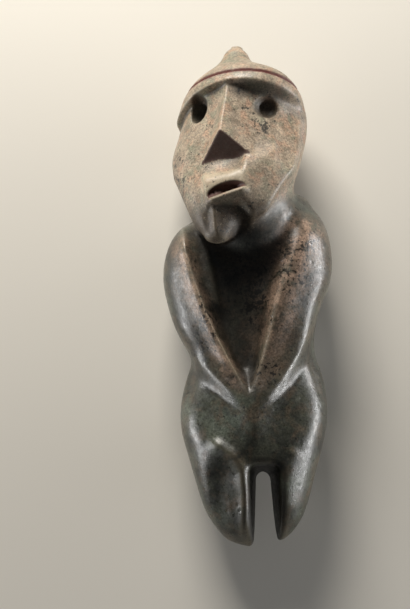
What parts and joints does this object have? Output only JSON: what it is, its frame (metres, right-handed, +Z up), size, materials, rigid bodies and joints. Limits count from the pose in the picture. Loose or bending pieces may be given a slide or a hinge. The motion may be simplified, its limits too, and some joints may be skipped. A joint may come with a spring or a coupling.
{
  "type": "anthropomorphic statuette",
  "caption": "Carved stone statuette of a standing figure with a pointed cap, hollowed eyes and arms folded to the belly, lying on its back.",
  "frame": {"origin": "middle of the bounding box, on the ground it lies on", "axes": "+X to the figure's left, +Y from its feet to its crown, +Z up out of its front"},
  "size_m": [0.0502, 0.1502, 0.043],
  "materials": {
    "stone": "polished, mottled olive and brown"
  },
  "bodies": {
    "root": {"statuette": "stone"}
  },
  "joints": []
}
